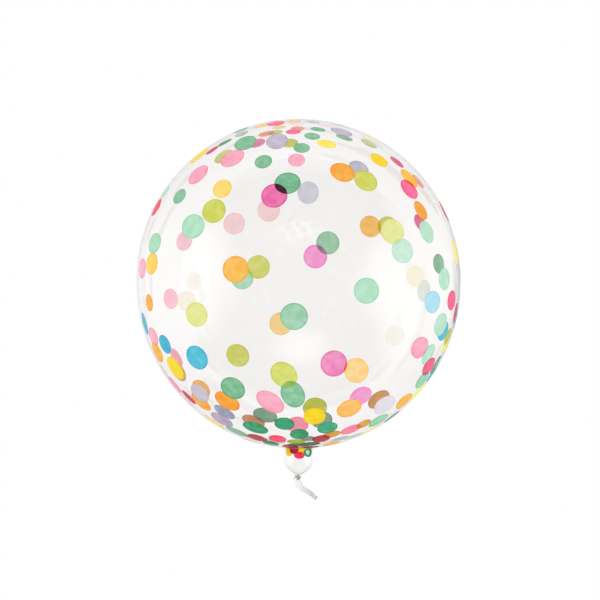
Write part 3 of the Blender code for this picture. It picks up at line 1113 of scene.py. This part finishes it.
# %% The floor and the room
FLOOR_SIZE = 8.0
FLOOR_DROP = 0.5 * MM
ROOM_AHEAD, ROOM_AT_SIDES = 0.30, 0.90
FLOOR_BELOW, FLOOR_FAR_OFF, FLOOR_AT_SIDES = 0.93, 0.66, 1.0
SIDES_LENGTHWISE = 0.45
SIDES_FROM, SIDES_FULL = 0.45, 0.92
STEEPLY_DOWN, NEARLY_LEVEL = -0.60, -0.20
# SHADE_PLACE is a patch of painted shade on the floor, seen only in the film's mirror, where it draws the
# darker line at the ball's right edge.
SHADE_PLACE = (0.28, -0.02, -FLOOR_DROP)
SHADE_CORE, SHADE_EDGE, SHADE_TONE = 0.05, 0.16, 0.70


def straight_or_mirrored(tree, straight, mirrored):
    """A brightness that is one value seen straight or through the film, and another in a mirror."""
    path = add(tree, "ShaderNodeLightPath")
    choices = {"Value": path.outputs["Glossy Depth"], "To Min": straight, "To Max": mirrored}
    return add(tree, "ShaderNodeMapRange", inputs=choices).outputs["Result"]


def brighter_to_the_sides(tree, direction, ahead, at_sides):
    """What is mirrored from a direction: dim along the balloon's length, brighter towards both sides."""
    parts = add(tree, "ShaderNodeSeparateXYZ", inputs={"Vector": direction})
    sideways, lengthwise = [
        add(tree, "ShaderNodeMath", settings={"operation": "ABSOLUTE"}, inputs={0: parts.outputs[axis]})
        for axis in "XY"
    ]
    off_ends = add(
        tree,
        "ShaderNodeMath",
        settings={"operation": "MULTIPLY_ADD"},
        inputs={0: lengthwise.outputs["Value"], 1: -SIDES_LENGTHWISE, 2: sideways.outputs["Value"]},
    )
    ranged = add(
        tree,
        "ShaderNodeMapRange",
        settings={"interpolation_type": "SMOOTHSTEP"},
        inputs={
            "Value": off_ends.outputs["Value"],
            "From Min": SIDES_FROM,
            "From Max": SIDES_FULL,
            "To Min": ahead,
            "To Max": at_sides,
        },
    )
    return ranged.outputs["Result"]


def flat_card(name, width, height, material):
    """A flat rectangle that faces up, with its middle at the origin."""
    bm = bmesh.new()
    bmesh.ops.create_grid(bm, x_segments=1, y_segments=1, size=0.5)
    bmesh.ops.scale(bm, vec=(width, height, 1), verts=bm.verts)
    return object_of(name, bm, material)


ground, shader = new_material("white_paper_sweep")
shader.inputs["Base Color"].default_value = linear("#000000")
shader.inputs["Roughness"].default_value = 1.0
shader.inputs["Specular IOR Level"].default_value = 0.0
shader.inputs["Emission Color"].default_value = linear("#FFFFFF")
tree = ground.node_tree
spot = add(tree, "ShaderNodeNewGeometry")
from_middle = add(
    tree,
    "ShaderNodeVectorMath",
    settings={"operation": "SUBTRACT"},
    inputs={0: spot.outputs["Position"], 1: MIDDLE},
)
towards = add(
    tree,
    "ShaderNodeVectorMath",
    settings={"operation": "NORMALIZE"},
    inputs={0: from_middle.outputs["Vector"]},
)
from_shade = add(
    tree,
    "ShaderNodeVectorMath",
    settings={"operation": "DISTANCE"},
    inputs={0: spot.outputs["Position"], 1: SHADE_PLACE},
)
falling = add(tree, "ShaderNodeSeparateXYZ", inputs={"Vector": towards.outputs["Vector"]})
ahead = add(
    tree,
    "ShaderNodeMapRange",
    inputs={
        "Value": falling.outputs["Z"],
        "From Min": STEEPLY_DOWN,
        "From Max": NEARLY_LEVEL,
        "To Min": FLOOR_BELOW,
        "To Max": FLOOR_FAR_OFF,
    },
)
shade = add(
    tree,
    "ShaderNodeMapRange",
    inputs={
        "Value": from_shade.outputs["Value"],
        "From Min": SHADE_CORE,
        "From Max": SHADE_EDGE,
        "To Min": SHADE_TONE,
        "To Max": 1.0,
    },
)
mirrored = brighter_to_the_sides(
    tree, towards.outputs["Vector"], ahead.outputs["Result"], FLOOR_AT_SIDES
)
shaded = add(
    tree,
    "ShaderNodeMath",
    settings={"operation": "MULTIPLY"},
    inputs={0: shade.outputs["Result"], 1: mirrored},
)
brightness = straight_or_mirrored(tree, 1.0, shaded.outputs["Value"])
tree.links.new(brightness, shader.inputs["Emission Strength"])
floor = flat_card("floor", FLOOR_SIZE, FLOOR_SIZE, ground)
floor.location.z = -FLOOR_DROP
floor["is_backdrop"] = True

world = bpy.data.worlds.new("studio")
scene.world = world
world.use_nodes = True
tree = world.node_tree
background = tree.nodes["Background"]
background.inputs["Color"].default_value = linear("#FFFFFF")
looking = add(tree, "ShaderNodeTexCoord")
mirrored = brighter_to_the_sides(tree, looking.outputs["Generated"], ROOM_AHEAD, ROOM_AT_SIDES)
tree.links.new(straight_or_mirrored(tree, 1.0, mirrored), background.inputs["Strength"])
film.visible_shadow = False
film.visible_diffuse = False
scene.view_settings.view_transform = "Standard"
scene.view_settings.look = "None"
print("the film mirrors", ROOM_AHEAD, "of white above and ahead, and", ROOM_AT_SIDES, "at the sides")

# %% [markdown]
# Each lamp is a cloth-fronted softbox. Its cloth is brightest in the middle and fades towards the
# edges, so its image in the film has soft edges too. The lamps are placed by turning the law of
# reflection round: a bright patch at some place on the ball shows a lamp in the direction that the
# camera's line is mirrored to there.

# %% The softboxes
SOFTBOX_DISTANCE = 1.4
SOFTBOX_FADE = 1.6
SOFTBOXES = {
    "softbox_left": {"patch": (-12.4, -0.2), "width": 1.9, "height": 1.25, "brightness": 1.35},
    "softbox_right": {"patch": (12.8, -4.2), "width": 1.8, "height": 1.35, "brightness": 1.35},
    "softbox_front": {"patch": (0.2, -7.2), "width": 1.15, "height": 0.80, "brightness": 1.55},
}


def mirrored_direction(right, up):
    """Where the camera's line goes once the near wall has mirrored it."""
    direction, line = seen_film(right, up, False)
    return line.reflect(direction)


def softbox_material(name, brightness):
    """A lamp's cloth: bright in the middle, fading to nothing at its edges, and only in a mirror."""
    made = bpy.data.materials.new(name)
    made.use_nodes = True
    tree = made.node_tree
    tree.nodes.remove(tree.nodes["Principled BSDF"])
    place = add(tree, "ShaderNodeTexCoord")
    centred = add(
        tree,
        "ShaderNodeVectorMath",
        settings={"operation": "MULTIPLY_ADD"},
        inputs={0: place.outputs["Generated"], 1: (2, 2, 0), 2: (-1, -1, 0)},
    )
    squared = add(
        tree,
        "ShaderNodeVectorMath",
        settings={"operation": "MULTIPLY"},
        inputs={0: centred.outputs["Vector"], 1: centred.outputs["Vector"]},
    )
    spread = add(
        tree,
        "ShaderNodeVectorMath",
        settings={"operation": "DOT_PRODUCT"},
        inputs={0: squared.outputs["Vector"], 1: (1, 1, 0)},
    )
    left_over = add(
        tree,
        "ShaderNodeMath",
        settings={"operation": "SUBTRACT", "use_clamp": True},
        inputs={0: 1.0, 1: spread.outputs["Value"]},
    )
    fade = add(
        tree,
        "ShaderNodeMath",
        settings={"operation": "POWER"},
        inputs={0: left_over.outputs["Value"], 1: SOFTBOX_FADE},
    )
    in_mirror = straight_or_mirrored(tree, 0.0, 1.0)
    shown = add(
        tree,
        "ShaderNodeMath",
        settings={"operation": "MULTIPLY"},
        inputs={0: fade.outputs["Value"], 1: in_mirror},
    )
    cloth = add(tree, "ShaderNodeEmission", inputs={"Color": linear("#FFFFFF"), "Strength": brightness})
    air = add(tree, "ShaderNodeBsdfTransparent")
    both = add(
        tree,
        "ShaderNodeMixShader",
        inputs={0: shown.outputs["Value"], 1: air.outputs["BSDF"], 2: cloth.outputs["Emission"]},
    )
    tree.links.new(both.outputs["Shader"], tree.nodes["Material Output"].inputs["Surface"])
    return made


for name, box in SOFTBOXES.items():
    towards = mirrored_direction(*box["patch"])
    cloth = softbox_material(name, box["brightness"])
    lamp = flat_card(name, box["width"], box["height"], cloth)
    lamp.location = MIDDLE + towards * SOFTBOX_DISTANCE
    lamp.rotation_euler = towards.to_track_quat("Z", "Y").to_euler()
    lamp.visible_camera = False
    lamp.visible_diffuse = False
    lamp.visible_shadow = False
    lamp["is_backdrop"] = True
    elevation = math.degrees(math.asin(towards.z))
    print(name, f"stands {elevation:.0f} degrees above the ball's middle")

# %% Write both boxes and finish
visual_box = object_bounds()
for name, box in (("CAD", cad_box), ("visual", visual_box)):
    print(name, "box, mm:", [[round(side / MM, 1) for side in corner] for corner in box])
